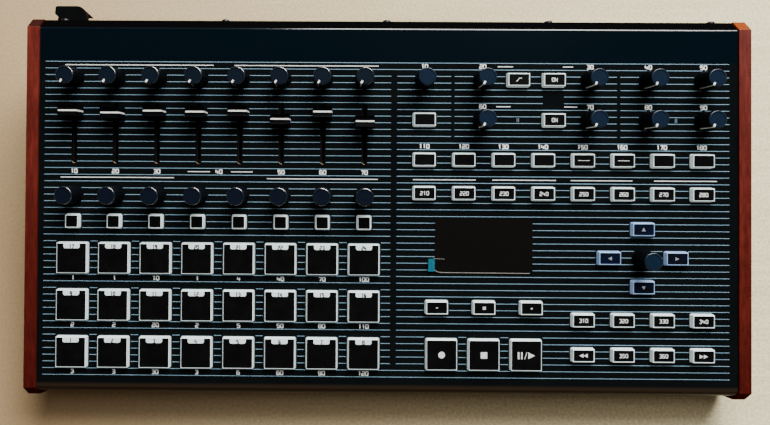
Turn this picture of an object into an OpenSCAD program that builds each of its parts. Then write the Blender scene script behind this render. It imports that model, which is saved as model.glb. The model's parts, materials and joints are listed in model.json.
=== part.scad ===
// Drum machine: a sloped control panel between two wooden cheeks, with pads, faders, knobs and keys.
// X runs left to right, Y from front to rear and Z up. The origin is the centre of the outline, on the table.

/* [Case] */
// Width over the two cheeks
body_w = 501; // [490:1:530]
// Slope of the control panel, in degrees
panel_tilt = 9; // [7:0.5:11]
// Height of the panel's front edge above the bottom of the cover
front_rise = 28; // [26:1:36]
// Thickness of the cover and tray sheet
sheet_t = 1.2; // [1:0.1:1.5]
// Radius of the cover's front bend
front_round = 6; // [4:0.5:8]
// Depth and drop of the bevel behind the panel
rear_bevel = 7; // [5:0.2:8]
// Radius of the cover's bend behind the panel
rear_round = 2.5; // [2:0.25:4]
// Height of the cover's rear lip
rear_lip = 8; // [7:0.5:10]
// Width of the flange folded under the front of the tray
front_flange = 12; // [10:1:16]
// Gap between the cover and each cheek
cheek_seam = 0.3; // [0.2:0.05:0.5]

/* [Cheeks] */
// Thickness of a cheek
cheek_t = 8.3; // [7:0.1:10]
// Height of a cheek above the panel
cheek_rise = 1; // [0.5:0.1:2]
// Bevel at the front and rear of a cheek
cheek_bevel = 6.8; // [5:0.2:8]
// How far a cheek stands in front of the cover
cheek_lead = 3; // [2:0.5:6]

/* [Panel grid] */
// Distance between printed lines
row_pitch = 4.62; // [4.5:0.01:4.75]
// Number of line spaces
row_count = 47; // [47:1:50]
// Bare strip behind the first line
header_l = 23.5; // [21:0.1:26]
// Bare strip in front of the last line
apron_l = 6.7; // [4:0.1:8]
// Distance from the panel's left edge to the first pad column
left_edge = 24.6; // [22:0.1:27]
// Distance between pad columns
left_pitch = 28.8; // [28:0.1:29.2]
// Distance from the panel's right edge to the last key column
right_edge = 25.1; // [22:0.1:27]
// Distance between key columns
right_pitch = 27.3; // [26.5:0.1:27.5]
// Distance from the last pad column to the first key column
column_gap = 41.4; // [38:0.1:44]

/* [Rows, in line spaces from the rear] */
// Upper knob row
row_knobs_1 = 2.5; // [2.25:0.25:3]
// Lower knob row
row_knobs_2 = 8.5; // [8.25:0.25:9]
// Middle of the fader travel
row_faders = 10.8; // [10.5:0.1:11.2]
// Function keys
row_function = 14.5; // [14.25:0.25:14.75]
// Edit and mode keys
row_edit = 19.5; // [19.25:0.25:19.75]
// Voice knobs
row_voice = 20; // [19.75:0.25:20.25]
// Select buttons
row_select = 24; // [23.75:0.25:24.25]
// Rear pad row
row_pads_rear = 29.5; // [29.25:0.25:29.75]
// Distance between pad rows, in line spaces
pad_row_step = 7; // [6.75:0.25:7]
// Middle of the display
row_display = 27.4; // [27.2:0.1:27.8]
// Data wheel
row_wheel = 29; // [28.75:0.25:29.25]
// Menu keys
row_menu = 36.5; // [36.25:0.25:36.75]
// Rear row of pattern keys
row_pattern_1 = 38.25; // [38:0.25:38.5]
// Front row of pattern keys
row_pattern_2 = 43.4; // [43.2:0.1:43.6]

/* [Right-hand columns, from the first key column] */
// Cut-off and attack knobs
col_cutoff = 40.3; // [38:0.1:42]
// High-pass key and its lamp
col_filter = 64.6; // [62:0.1:66]
// Filter and envelope on keys
col_switch = 89.1; // [87:0.1:91]
// Resonance and sustain knobs
col_resonance = 114.4; // [112:0.1:116]
// Metronome volume and input knobs
col_input = 154.6; // [153:0.1:156]
// Master and phones knobs
col_master = 192.6; // [191:0.1:194]
// Middle of the display, the menu keys and the transport keys
col_display = 41.3; // [40:0.1:42]
// Distance between menu keys
menu_pitch = 32.4; // [31:0.1:33]
// Distance between transport keys
transport_pitch = 29; // [28:0.1:30]
// Distance from the data wheel to the arrow keys at its sides
arrow_reach = 23; // [22:0.5:25]
// Line spaces from the data wheel to the arrow keys behind and in front
arrow_rows = 4.3; // [4.1:0.1:4.6]

/* [Knobs] */
// Diameter of a knob at its skirt
knob_d = 12.6; // [12:0.1:13.5]
// Diameter of a knob at its top
knob_top_d = 12.1; // [11.2:0.1:12.2]
// Height of a knob's top above the panel
knob_h = 15.5; // [14:0.5:18]
// Gap between a knob and the panel
knob_gap = 0.8; // [0.5:0.1:1.2]
// Radius of a knob's top edge
knob_edge = 0.8; // [0.5:0.1:1]
// Number of flutes round a knob
knob_flutes = 20; // [16:1:24]
// Depth of a flute at the skirt
flute_depth = 0.45; // [0.3:0.05:0.5]
// Diameter of a shaft
shaft_d = 6; // [5:0.1:6.2]
// Clearance round a shaft in its bush
shaft_play = 0.08; // [0.05:0.01:0.1]
// Width of the pointer groove in a knob
pointer_w = 1.3; // [0.8:0.1:1.6]
// Pointer angle at the stop, left of straight forward
pointer_stop = 30; // [20:1:40]

/* [Faders] */
// Travel of a fader
fader_travel = 30; // [28:1:30]
// Width of a fader cap
cap_w = 12.9; // [11:0.1:14]
// Length of a fader cap along its travel
cap_l = 8.8; // [8:0.1:10]
// Height of a fader cap's top above the panel
cap_h = 12; // [10:0.5:14]
// Width of the slot in the panel
slot_w = 3.3; // [3:0.1:3.8]
// Slot length beyond the lever at each end
slot_spare = 3.8; // [2:0.1:4]
// Thickness of a lever
lever_t = 1.2; // [1:0.1:1.4]
// Width of a lever along its travel
lever_l = 4; // [3.5:0.1:4.5]

/* [Pads and keys] */
// Width of a pad
pad_w = 21.6; // [20:0.1:22]
// Height of a pad above the panel
pad_h = 2.6; // [2.2:0.1:5]
// Light rim round a pad's dark top
pad_rim = 0.55; // [0.5:0.05:1]
// Travel of a pad
pad_travel = 1.2; // [0.8:0.1:1.2]
// Width of the number tab on a pad
tab_w = 11.1; // [10:0.1:12]
// Length of the number tab on a pad
tab_l = 3.3; // [2:0.1:4]
// Width of a key
key_w = 15.6; // [14:0.1:16.5]
// Length of a key
key_l = 9.5; // [8.5:0.1:10]
// Height of a key above the panel
key_h = 3; // [2.8:0.1:5]
// Travel of a key
key_travel = 0.8; // [0.6:0.1:1.2]
// Width of a select button
select_w = 9.8; // [8.5:0.1:10.5]
// Height of a select button above the panel
select_h = 3; // [2.6:0.1:4]
// Light rim round a key's dark top
rim_w = 0.75; // [0.7:0.05:1.2]
// Depth of a cap's dark top below its rim
inset_t = 0.4; // [0.3:0.05:0.6]
// Corner radius of a cap
cap_corner = 1.3; // [1:0.1:1.6]
// Bevel round a cap's top
cap_bevel = 0.5; // [0.3:0.05:0.6]
// How much a cap narrows on each side from the panel to its top
cap_draft = 0.2; // [0.1:0.05:0.3]
// Wall of a hollow cap
cap_wall = 1.4; // [1.2:0.1:1.6]
// Gap round a cap in the panel
cap_gap = 0.35; // [0.3:0.05:0.5]
// Width and thickness of the flange that holds a cap under the panel
cap_flange = 0.9; // [0.8:0.1:1]

/* [Display] */
// Width of the window
window_w = 66.5; // [62:0.5:70]
// Length of the window
window_l = 37; // [34:0.5:38]
// Height of the window above the panel
window_rise = 0.1; // [0.05:0.05:0.2]
// Thickness of the protective film
film_t = 0.15; // [0.1:0.05:0.2]
// Width of the film's pull tab
film_tab_w = 4.8; // [4:0.1:7]
// Length of the film's pull tab
film_tab_l = 8.7; // [6:0.1:10]

/* [Boards] */
// Depth of the control board below the panel
board_drop = 10; // [9.5:0.5:11]
// Thickness of a circuit board
board_t = 1.6; // [1.2:0.1:2]
// Width of a switch housing
switch_w = 6; // [5.8:0.1:6.5]
// Height of a switch housing
switch_h = 3.6; // [3.2:0.1:4]
// Diameter of a cap's post
post_d = 3.4; // [3:0.1:3.6]
// Diameter of the posts that hold the boards
stud_d = 5; // [4.5:0.1:5.2]

/* [Rear] */
// Number of large sockets
jack_count = 12; // [8:1:12]
// Distance between large sockets
jack_pitch = 21; // [20:0.5:21]
// Distance from the panel's right edge to the last large socket
jack_edge = 34; // [30:1:40]
// Bore of a large socket
jack_bore = 6.5; // [6.4:0.1:6.6]
// Depth of a large socket
jack_depth = 26; // [24:1:28]
// Height of the socket centres above the jack board
jack_rise = 8.5; // [8.5:0.5:10]
// Number of round five-pin sockets
din_count = 3; // [2:1:3]
// Distance between round five-pin sockets
din_pitch = 24; // [23:0.5:25]
// Distance from the cover's left edge to the middle of the cord hook
hook_edge = 14; // [13:0.5:20]
// Reach of the cord hook behind the rear wall
hook_reach = 15.8; // [12:0.1:17]
// Width of the cord hook's plate
hook_w = 20.5; // [18:0.5:24]
// Height of the cord hook
hook_h = 15; // [13:0.5:16]
// Angle that the power rocker turns through
rocker_swing = 20; // [16:1:24]

/* [Feet and screws] */
// Height of a rubber foot below the tray
foot_h = 5.7; // [4:0.1:8]
// Diameter of a rubber foot
foot_d = 18; // [14:1:22]
// Distance from the case edges to a foot's centre
foot_edge = 28; // [22:1:36]
// Diameter of a case screw
screw_d = 3; // [2.5:0.1:3]
// Diameter of a case screw's head
screw_head_d = 5.6; // [5:0.1:6]
// Height of a case screw's head
screw_head_h = 1.8; // [1.5:0.1:2]

/* [Hidden] */
$fn = 48;
over = 0.01;                // how far a cutter passes a face
slip = 0.3;                 // clearance between parts that move apart
seat = 0.02;                // clearance between parts pressed together
bend_sink = 0.01;           // how far a flat starts inside the round that it runs into
wall_fit = 0.2;             // clearance round a socket in the rear wall
column_count = 8;

base_z = foot_h - sheet_t;  // bottom of the cover and cheeks
tray_z = foot_h;            // bottom of the tray
floor_z = tray_z + sheet_t; // top of the tray's floor
inner_w = body_w - 2 * cheek_t;
cover_w = inner_w - 2 * cheek_seam;

// Ratio of the cover's width to the columns' distances, so that the columns always fill the panel
spread = cover_w / (left_edge + (column_count - 1) * (left_pitch + right_pitch) + column_gap + right_edge);
panel_front = row_count * row_pitch + apron_l;

// Distances along Y from the first printed line
front_face = -panel_front * cos(panel_tilt) + front_round * sin(panel_tilt) - front_round;
rear_face = (header_l + rear_bevel) * cos(panel_tilt) + rear_bevel * sin(panel_tilt);
line_y = -(front_face - cheek_lead + rear_face - sheet_t + hook_reach) / 2;
line_z = base_z + front_rise + panel_front * sin(panel_tilt);
front_y = line_y + front_face;
rear_y = line_y + rear_face;

// A point of the side view, from its distance behind the first line and its height over the panel
function on_slope(v, w) = [
    line_y + v * cos(panel_tilt) - w * sin(panel_tilt),
    line_z + v * sin(panel_tilt) + w * cos(panel_tilt)
];
bend_centre = on_slope(-panel_front, -front_round);
function bevel_top(inset) = on_slope(header_l - inset * tan(22.5), -inset);
rear_centre = bevel_top(rear_round);
function bevel_foot(inset) = [
    rear_y - inset,
    bevel_top(inset)[1] - (rear_y - inset - bevel_top(inset)[0]) * tan(45 - panel_tilt)
];
lip_z = bevel_foot(0)[1] - rear_lip;

// Columns and rows of the controls
function left_col(k) = -cover_w / 2 + spread * (left_edge + k * left_pitch);
function right_col(k) = cover_w / 2 - spread * (right_edge + (column_count - 1 - k) * right_pitch);
function across_left(row) = [for (k = [0 : column_count - 1]) [left_col(k), row]];
function across_right(row) = [for (k = [0 : column_count - 1]) [right_col(k), row]];
first_key = right_col(0);
function from_first_key(distance) = first_key + spread * distance;
display_u = from_first_key(col_display);
wheel_u = (right_col(5) + right_col(6)) / 2;

pan_spots = across_left(row_knobs_1);
voice_spots = across_left(row_voice);
metronome_spot = [first_key, row_knobs_1];
cutoff_spot = [from_first_key(col_cutoff), row_knobs_1];
resonance_spot = [from_first_key(col_resonance), row_knobs_1];
metronome_volume_spot = [from_first_key(col_input), row_knobs_1];
master_spot = [from_first_key(col_master), row_knobs_1];
attack_spot = [from_first_key(col_cutoff), row_knobs_2];
sustain_spot = [from_first_key(col_resonance), row_knobs_2];
input_spot = [from_first_key(col_input), row_knobs_2];
phones_spot = [from_first_key(col_master), row_knobs_2];
wheel_spot = [wheel_u, row_wheel];
knob_spots = concat(pan_spots, voice_spots, [metronome_spot, cutoff_spot, resonance_spot,
    metronome_volume_spot, master_spot, attack_spot, sustain_spot, input_spot, phones_spot, wheel_spot]);
fader_spots = across_left(row_faders);

filter_spots = [[from_first_key(col_filter), row_knobs_1], [from_first_key(col_switch), row_knobs_1],
    [from_first_key(col_switch), row_knobs_2], [first_key, row_knobs_2]];
function_spots = across_right(row_function);
edit_spots = across_right(row_edit);
select_spots = across_left(row_select);
menu_spots = [for (k = [-1 : 1]) [display_u + k * spread * menu_pitch, row_menu]];
row_transport = row_pads_rear + 2 * pad_row_step;
transport_spots = [for (k = [-1 : 1]) [display_u + k * spread * transport_pitch, row_transport]];
arrow_spots = [[wheel_u, row_wheel - arrow_rows], [wheel_u, row_wheel + arrow_rows],
    [wheel_u - spread * arrow_reach, row_wheel], [wheel_u + spread * arrow_reach, row_wheel]];
pattern_spots = [for (row = [row_pattern_1, row_pattern_2], k = [4 : 7]) [right_col(k), row]];
pads_rear_spots = across_left(row_pads_rear);
pads_middle_spots = across_left(row_pads_rear + pad_row_step);
pads_front_spots = across_left(row_pads_rear + 2 * pad_row_step);
key_spots = concat(filter_spots, function_spots, edit_spots, menu_spots, arrow_spots, pattern_spots);
pad_spots = concat(pads_rear_spots, pads_middle_spots, pads_front_spots, transport_spots);
lamp_spots = [[from_first_key(col_filter), row_knobs_2], [(input_spot[0] + phones_spot[0]) / 2, row_knobs_2]];
lamp_size = [1.5, 3];

// Where each fader stands at rest, in millimetres from the rear end of its travel
fader_rest = [0.2, 1.6, 0.2, 0.7, 0, 5.3, 0.2, 6.5];

// Posts between the cover and the control board
stud_spots = concat(
    [for (row = [0.6, 24, 46], side = [-1, 1]) [side * (cover_w / 2 - 7), row]],
    [[left_col(3.5), 26], [left_col(7) / 2 + first_key / 2, 24], [left_col(7) / 2 + first_key / 2, 45],
        [left_col(3.5), 5], [right_col(3.5), 5.4], [right_col(3.25), 33]]);

// Depths below the panel, all negative
flange_top = -sheet_t - slip;
cap_root = flange_top - cap_flange;
board_top = -board_drop;
fader_body_top = -sheet_t - 0.8;
lever_end = board_top + 3;
window_bottom = window_rise - sheet_t - 0.2;

// Rear wall layout, in X
rocker_step = 36;           // from the hook to the rocker
inlet_step = 21;
usb_step = 18;
din_step = 20;
sync_step = 17;
sync_pitch = 11;
jack_x = [for (k = [0 : jack_count - 1]) cover_w / 2 - spread * (jack_edge + k * jack_pitch)];
hook_x = -cover_w / 2 + spread * hook_edge;
rocker_x = hook_x + spread * rocker_step;
inlet_x = rocker_x + spread * inlet_step;
usb_x = inlet_x + spread * usb_step;
din_x = [for (k = [0 : din_count - 1]) usb_x + spread * (din_step + k * din_pitch)];
sync_x = [for (k = [0 : 1]) din_x[din_count - 1] + spread * (sync_step + k * sync_pitch)];
jack_board_z = floor_z + 5;
jack_stud_x = [-inner_w / 2 + 20, -inner_w / 8, inner_w / 6, inner_w / 2 - 20];
vent_count = 12;
vent_pitch = 7;
jack_z = jack_board_z + board_t + jack_rise;
wall_y = rear_y - sheet_t;  // outer face of the rear wall
wall_in_y = wall_y - sheet_t;
hook_z = lip_z - hook_h - 0.6;
rocker_w = 14;
rocker_r = 5.4;             // from the pivot to the rocker's round ends
rocker_box = [16.8, 12.8];
bezel = [19, 15, 2];
jack_sleeve_d = 9;
din_d = 15;
sync_d = 6;
inlet_d = 9;
usb_face = [12, 11];
knob_bush_l = 3.2;          // from the panel to the shoulder of a potentiometer

CONTROLS = ["metronome_knob", "cutoff_knob", "resonance_knob", "metronome_volume_knob", "master_knob",
    "attack_knob", "sustain_knob", "input_knob", "phones_knob", "data_wheel"];

// ---------- shared shapes ----------

// Puts a shape on the panel at a column and row, with +Z along the panel's normal
module on_panel(spot) {
    translate([0, line_y, line_z]) rotate([panel_tilt, 0, 0]) translate([spot[0], -spot[1] * row_pitch, 0])
        children();
}

module on_each(spots) {
    for (spot = spots) on_panel(spot) children();
}

// Centred rectangle with round corners
module rounded(w, l, r) {
    square([w - 2 * r, l], center = true);
    square([w, l - 2 * r], center = true);
    for (x = [-1, 1], y = [-1, 1]) translate([x * (w / 2 - r), y * (l / 2 - r)]) circle(r = r);
}

// Box that stands on the XY plane, centred in X and Y
module block(w, l, h) {
    translate([-w / 2, -l / 2, 0]) cube([w, l, h]);
}

// Extrudes a side view, drawn with Y and Z as its axes, across the case
module across(w) {
    rotate([90, 0, 90]) linear_extrude(w, center = true) children();
}

// Side view of the closed case, a distance inside the cover's outer face
module case_side(inset, bottom) {
    front = bend_centre[0] - front_round + inset;
    polygon([[front, bottom], [front + bend_sink, bend_centre[1]], bend_centre,
        on_slope(-panel_front, -inset - bend_sink),
        on_slope(header_l - rear_round * tan(22.5), -inset - bend_sink), rear_centre,
        rear_centre + (rear_round - inset - bend_sink) * [sin(45 - panel_tilt), cos(45 - panel_tilt)],
        bevel_foot(inset), [rear_y - inset, bottom]]);
    translate(bend_centre) circle(r = front_round - inset);
    translate(rear_centre) circle(r = rear_round - inset);
}

// Screw with its head on the XY plane and its shank below
module screw(d, length, head_d, head_h) {
    difference() {
        cylinder(d = head_d, h = head_h);
        for (turn = [0, 90]) rotate([0, 0, turn]) translate([0, 0, head_h - 0.8])
            block(head_d * 0.6, 0.8, 1);
    }
    translate([0, 0, -length]) cylinder(d = d, h = length + over);
}

// ---------- case ----------

// Side view of the bent cover sheet: front flange, fascia, panel, bevel and rear lip
module cover_section() {
    difference() {
        case_side(0, base_z);
        case_side(sheet_t, base_z - 1);
        translate([rear_y - sheet_t - 1, base_z - 1]) square([sheet_t + 2, lip_z - base_z + 1]);
    }
    translate([front_y + over, base_z]) square([front_flange, sheet_t]);
}

module top_cover() {
    color("#131a2b") difference() {
        union() {
            across(cover_w) cover_section();
            on_each(stud_spots) translate([0, 0, board_top]) cylinder(d = stud_d, h = board_drop - sheet_t + over);
        }
        on_each(pad_spots) translate([0, 0, -sheet_t - 1]) linear_extrude(sheet_t + 2)
            rounded(pad_w + 2 * cap_gap, pad_w + 2 * cap_gap, cap_corner);
        on_each(key_spots) translate([0, 0, -sheet_t - 1]) linear_extrude(sheet_t + 2)
            rounded(key_w + 2 * cap_gap, key_l + 2 * cap_gap, cap_corner);
        on_each(select_spots) translate([0, 0, -sheet_t - 1]) linear_extrude(sheet_t + 2)
            rounded(select_w + 2 * cap_gap, select_w + 2 * cap_gap, cap_corner);
        on_each(knob_spots) translate([0, 0, -sheet_t - 1]) cylinder(d = shaft_d + 4 * slip, h = sheet_t + 2);
        on_each(fader_spots) translate([0, 0, -sheet_t - 1]) linear_extrude(sheet_t + 2)
            rounded(slot_w, fader_travel + lever_l + 2 * slot_spare, slot_w / 2 - 0.05);
        on_each(lamp_spots) block_hole(lamp_size[0] + 0.2, lamp_size[1] + 0.2);
        on_panel([display_u, row_display]) block_hole(window_w + 0.2, window_l + 0.2);
        on_each(stud_spots) translate([0, 0, board_top - 1]) cylinder(d = screw_d + 2 * seat, h = 7);
        lip_screws() cylinder(d = screw_d + 2 * seat, h = 8, center = true);
        flange_screws() cylinder(d = screw_d + 2 * seat, h = 8, center = true);
    }
}

// Square hole through the panel
module block_hole(w, l) {
    translate([0, 0, -sheet_t - 1]) block(w, l, sheet_t + 2);
}

// Screws through the rear lip into the rear wall
module lip_screws() {
    for (k = [-2 : 2]) translate([k * (cover_w / 4 - 6), rear_y, lip_z + rear_lip / 2]) rotate([-90, 0, 0])
        children();
}

// Screws up through the front flange into the tray
module flange_screws() {
    for (k = [-1.5 : 1.5]) translate([k * (cover_w / 4 - 6), front_y + front_flange * 0.62, base_z])
        rotate([180, 0, 0]) children();
}

// Screws from the tray's side walls into the cheeks
module cheek_screws() {
    for (side = [-1, 1], y = [line_y - panel_front * 0.8, line_y - panel_front / 2, line_y - 10])
        translate([side * (inner_w / 2 - sheet_t), y, floor_z + 10]) rotate([0, -side * 90, 0]) children();
}

// Screws through the rubber feet
module foot_spots() {
    for (x = [-1, 1], y = [front_y + foot_edge, rear_y - foot_edge])
        translate([x * (inner_w / 2 - foot_edge), y, tray_z]) rotate([180, 0, 0]) children();
}

module vents() {
    for (x = [-1, 1], k = [0 : vent_count - 1])
        translate([x * inner_w / 4 + (k - (vent_count - 1) / 2) * vent_pitch, line_y - panel_front * 0.45, tray_z - 1])
            linear_extrude(sheet_t + 2) rounded(3, 46, 1.45);
}

// Standoffs under the jack board
module jack_studs() {
    for (x = jack_stud_x) translate([x, wall_in_y - jack_depth - 5, floor_z]) children();
}

module bottom_tray() {
    front = front_y + sheet_t + seat;
    wall_top = bevel_foot(sheet_t)[1] - 1;
    color("#15171c") difference() {
        union() {
            across(inner_w) difference() {
                translate([front, tray_z]) square([wall_y - front, wall_top - tray_z]);
                translate([front + sheet_t, floor_z]) square([wall_in_y - front - sheet_t, wall_top]);
                translate([front - 1, tray_z + 12]) square([sheet_t + 2, wall_top]);
            }
            for (side = [-1, 1]) translate([side * (inner_w - sheet_t) / 2, 0, 0]) across(sheet_t)
                case_side(sheet_t + 0.15, tray_z);
            jack_studs() cylinder(d = stud_d, h = jack_board_z - floor_z);
        }
        vents();
        jack_studs() translate([0, 0, -over]) cylinder(d = screw_d + 2 * seat, h = 20);
        lip_screws() cylinder(d = screw_d + 2 * seat, h = 12, center = true);
        flange_screws() cylinder(d = screw_d + 2 * seat, h = 12, center = true);
        cheek_screws() cylinder(d = screw_d + 2 * seat, h = 8, center = true);
        foot_spots() cylinder(d = screw_d + 2 * seat, h = 8, center = true);
        wall_holes();
    }
}

module into_wall(x, z) {
    translate([x, wall_y, z]) rotate([-90, 0, 0]) children();
}

// Holes in the rear wall for everything mounted behind it
module wall_holes() {
    deep = 2 * sheet_t + 2;
    for (x = jack_x) into_wall(x, jack_z) cylinder(d = jack_sleeve_d + 2 * wall_fit, h = deep, center = true);
    for (x = din_x) into_wall(x, jack_z + 2) cylinder(d = din_d + 2 * wall_fit, h = deep, center = true);
    for (x = sync_x) into_wall(x, jack_z) cylinder(d = sync_d + 2 * wall_fit, h = deep, center = true);
    into_wall(inlet_x, jack_z) cylinder(d = inlet_d + 2 * wall_fit, h = deep, center = true);
    into_wall(usb_x, jack_z) cube([usb_face[0] + 2 * wall_fit, usb_face[1] + 2 * wall_fit, deep], center = true);
    into_wall(rocker_x, jack_z)
        cube([rocker_box[0] + 2 * wall_fit, rocker_box[1] + 2 * wall_fit, deep], center = true);
    into_wall(hook_x, hook_z + hook_h / 2) cylinder(d = screw_d + 2 * seat, h = deep, center = true);
}

// Side view of a cheek: straight bottom and ends, and a bevel at each end of the sloped top
module cheek_side() {
    drop = (cheek_rise - cheek_bevel) * sin(panel_tilt);
    front_v = (front_face - cheek_lead + drop) / cos(panel_tilt);
    rear_v = (rear_face + drop) / cos(panel_tilt);
    polygon([
        [front_y - cheek_lead, base_z],
        on_slope(front_v, cheek_rise - cheek_bevel),
        on_slope(front_v + cheek_bevel, cheek_rise),
        on_slope(rear_v - cheek_bevel, cheek_rise),
        on_slope(rear_v, cheek_rise - cheek_bevel),
        [rear_y, base_z]
    ]);
}

module cheek(side) {
    color("#5a1f12") difference() {
        translate([side * (body_w - cheek_t) / 2, 0, 0]) across(cheek_t) cheek_side();
        cheek_screws() translate([0, 0, -6 - sheet_t]) cylinder(d = screw_d + 2 * seat, h = 7);
    }
}

module left_cheek() cheek(-1);
module right_cheek() cheek(1);

module rubber_feet() {
    color("#17181a") foot_spots() difference() {
        union() {
            cylinder(d = foot_d, h = foot_h * 0.7);
            translate([0, 0, foot_h * 0.7]) cylinder(d1 = foot_d, d2 = foot_d - 3, h = foot_h * 0.3);
        }
        translate([0, 0, -over]) cylinder(d = screw_d + 2 * seat, h = foot_h + 1);
        translate([0, 0, 2]) cylinder(d = screw_head_d + 2, h = foot_h);
    }
}

// ---------- controls ----------

// Shaft section with a flat
module shaft_section(d) {
    difference() {
        circle(d = d);
        translate([d / 4, -d]) square(2 * d);
    }
}

// Half section of a knob: straight skirt, tapered side, rounded edge and a shallow dish on top
module knob_section() {
    top_r = knob_top_d / 2;
    dish_r = top_r - knob_edge - 0.2;
    difference() {
        union() {
            polygon([[0, knob_gap], [knob_d / 2, knob_gap], [knob_d / 2, knob_gap + 2],
                [top_r, knob_h - knob_edge], [top_r - knob_edge, knob_h], [0, knob_h]]);
            translate([top_r - knob_edge, knob_h - knob_edge]) circle(r = knob_edge);
        }
        translate([-over, knob_h - 0.25]) square([dish_r, 1]);
    }
}

// Knob and shaft; the flutes run out towards the narrower top
module knob(spot, pointer) {
    socket_h = 9;
    flute_r = 0.6;
    flute_top = knob_h - knob_edge - 0.5;
    on_panel(spot) rotate([0, 0, -pointer_stop]) {
        color("#1d2f45") difference() {
            rotate_extrude() knob_section();
            for (k = [0 : knob_flutes - 1]) rotate([0, 0, (k + 0.5) * 360 / knob_flutes])
                translate([knob_d / 2 + flute_r - flute_depth, 0, -1]) cylinder(r = flute_r, h = flute_top + 1);
            linear_extrude(knob_gap + socket_h) shaft_section(shaft_d + 2 * seat);
            if (pointer) {
                translate([-pointer_w / 2, -knob_d, knob_h - 0.6]) cube([pointer_w, knob_d - 3, 1]);
                translate([-pointer_w / 2, -knob_d / 2 - 1, knob_gap - over]) cube([pointer_w, 1.35, knob_h]);
            }
        }
        color("#b9bcc0") {
            translate([0, 0, board_top + 1]) cylinder(d = shaft_d, h = knob_gap / 2 - board_top - 1);
            linear_extrude(knob_gap + socket_h - seat) shaft_section(shaft_d);
        }
    }
}

module pot_bodies() {
    color("#2a2c30") on_each(knob_spots) difference() {
        union() {
            translate([0, 0, board_top]) block(shaft_d + 3.6, shaft_d + 5, board_drop - knob_bush_l);
            translate([0, 0, -knob_bush_l - over]) cylinder(d = shaft_d + 1.8, h = knob_bush_l - sheet_t - slip);
        }
        translate([0, 0, board_top + 0.7]) cylinder(d = shaft_d + 2 * shaft_play, h = board_drop);
    }
}

// Side view of a fader cap: sloping ends, a finger hollow and fine ridges
module fader_cap_side() {
    dish_r = 9;
    difference() {
        polygon([[-cap_l / 2, knob_gap], [cap_l / 2, knob_gap], [cap_l / 2, knob_gap + 2],
            [cap_l / 2 - 0.9, cap_h], [-cap_l / 2 + 0.9, cap_h], [-cap_l / 2, knob_gap + 2]]);
        translate([0, cap_h + dish_r - 1]) circle(r = dish_r);
        for (turn = [-19, -13, 13, 19]) translate([0, cap_h + dish_r - 1]) rotate([0, 0, turn])
            translate([0, -dish_r]) circle(r = 0.25);
    }
}

module fader_cap(k) {
    cap_socket_top = knob_gap + 5;
    spot = [left_col(k), row_faders];
    on_panel(spot) translate([0, fader_travel / 2 - fader_rest[k], 0]) {
        color("#16181d") difference() {
            across(cap_w) fader_cap_side();
            translate([-cap_w, -0.8, cap_h - 1.3]) cube([2 * cap_w, 1.6, 2]);
            block(lever_t + 2 * seat, lever_l + 2 * seat, cap_socket_top);
        }
        color("#b9bcc0") translate([0, 0, lever_end]) block(lever_t, lever_l, cap_socket_top - seat - lever_end);
    }
}

module fader_bodies() {
    body_l = fader_travel + lever_l + 11;
    color("#3a3c40") on_each(fader_spots) difference() {
        translate([0, 0, board_top]) block(9, body_l, fader_body_top - board_top);
        translate([0, 0, lever_end - slip]) block(lever_t + 2 * slip, fader_travel + lever_l + 2, board_drop);
        for (end = [-1, 1]) translate([0, end * (body_l / 2 - 2.4), fader_body_top - 2])
            cylinder(d = 2.2, h = 3);
    }
}

// Side view of a cap over the panel: vertical in the hole, then a slight draft and a bevelled top edge
module cap_side(w, h) {
    polygon([[-w / 2, cap_root], [w / 2, cap_root], [w / 2, 0], [w / 2 - cap_draft, h - cap_bevel],
        [w / 2 - cap_draft - cap_bevel, h], [-w / 2 + cap_draft + cap_bevel, h],
        [-w / 2 + cap_draft, h - cap_bevel], [-w / 2, 0]]);
}

// Push cap: hollow under, with a flange that stops it under the panel and a post that works its switch.
// Its top is sunk inside a rim, and children leave a tab standing at rim height.
module push_cap(w, l, h, rim, travel) {
    post_end = board_top + travel + 2 * slip;
    difference() {
        union() {
            intersection() {
                translate([0, 0, cap_root]) linear_extrude(h - cap_root) rounded(w, l, cap_corner);
                rotate([90, 0, 0]) linear_extrude(l + 2, center = true) cap_side(w, h);
                rotate([90, 0, 90]) linear_extrude(w + 2, center = true) cap_side(l, h);
            }
            translate([0, 0, cap_root]) linear_extrude(cap_flange)
                rounded(w + 2 * cap_flange, l + 2 * cap_flange, cap_corner);
        }
        translate([0, 0, cap_root - over]) linear_extrude(h - cap_root - cap_wall - inset_t)
            rounded(w - 2 * cap_wall, l - 2 * cap_wall, cap_corner / 2);
        translate([0, 0, h - inset_t]) linear_extrude(1) difference() {
            rounded(w - 2 * (cap_draft + rim), l - 2 * (cap_draft + rim), cap_corner / 2);
            children();
        }
    }
    translate([0, 0, post_end]) cylinder(d = post_d, h = h - cap_wall - inset_t - post_end);
}

module pad_row(spots) {
    color("#e4e7e8") on_each(spots) push_cap(pad_w, pad_w, pad_h, pad_rim, pad_travel) {
        translate([0, pad_w / 2 - cap_draft - pad_rim]) rounded(tab_w, 2 * tab_l, cap_corner);
    }
}

module key_row(spots) {
    color("#e4e7e8") on_each(spots) push_cap(key_w, key_l, key_h, rim_w, key_travel);
}

module pads_rear() pad_row(pads_rear_spots);
module pads_middle() pad_row(pads_middle_spots);
module pads_front() pad_row(pads_front_spots);
module select_buttons() color("#e4e7e8") on_each(select_spots)
    push_cap(select_w, select_w, select_h, rim_w, key_travel);
module transport_keys() color("#e4e7e8") on_each(transport_spots)
    push_cap(pad_w, pad_w, pad_h, pad_rim, pad_travel);
module filter_keys() key_row(filter_spots);
module function_keys() key_row(function_spots);
module edit_mode_keys() key_row(edit_spots);
module menu_keys() key_row(menu_spots);
module arrow_keys() key_row(arrow_spots);
module pattern_keys() key_row(pattern_spots);

// ---------- display ----------

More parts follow.
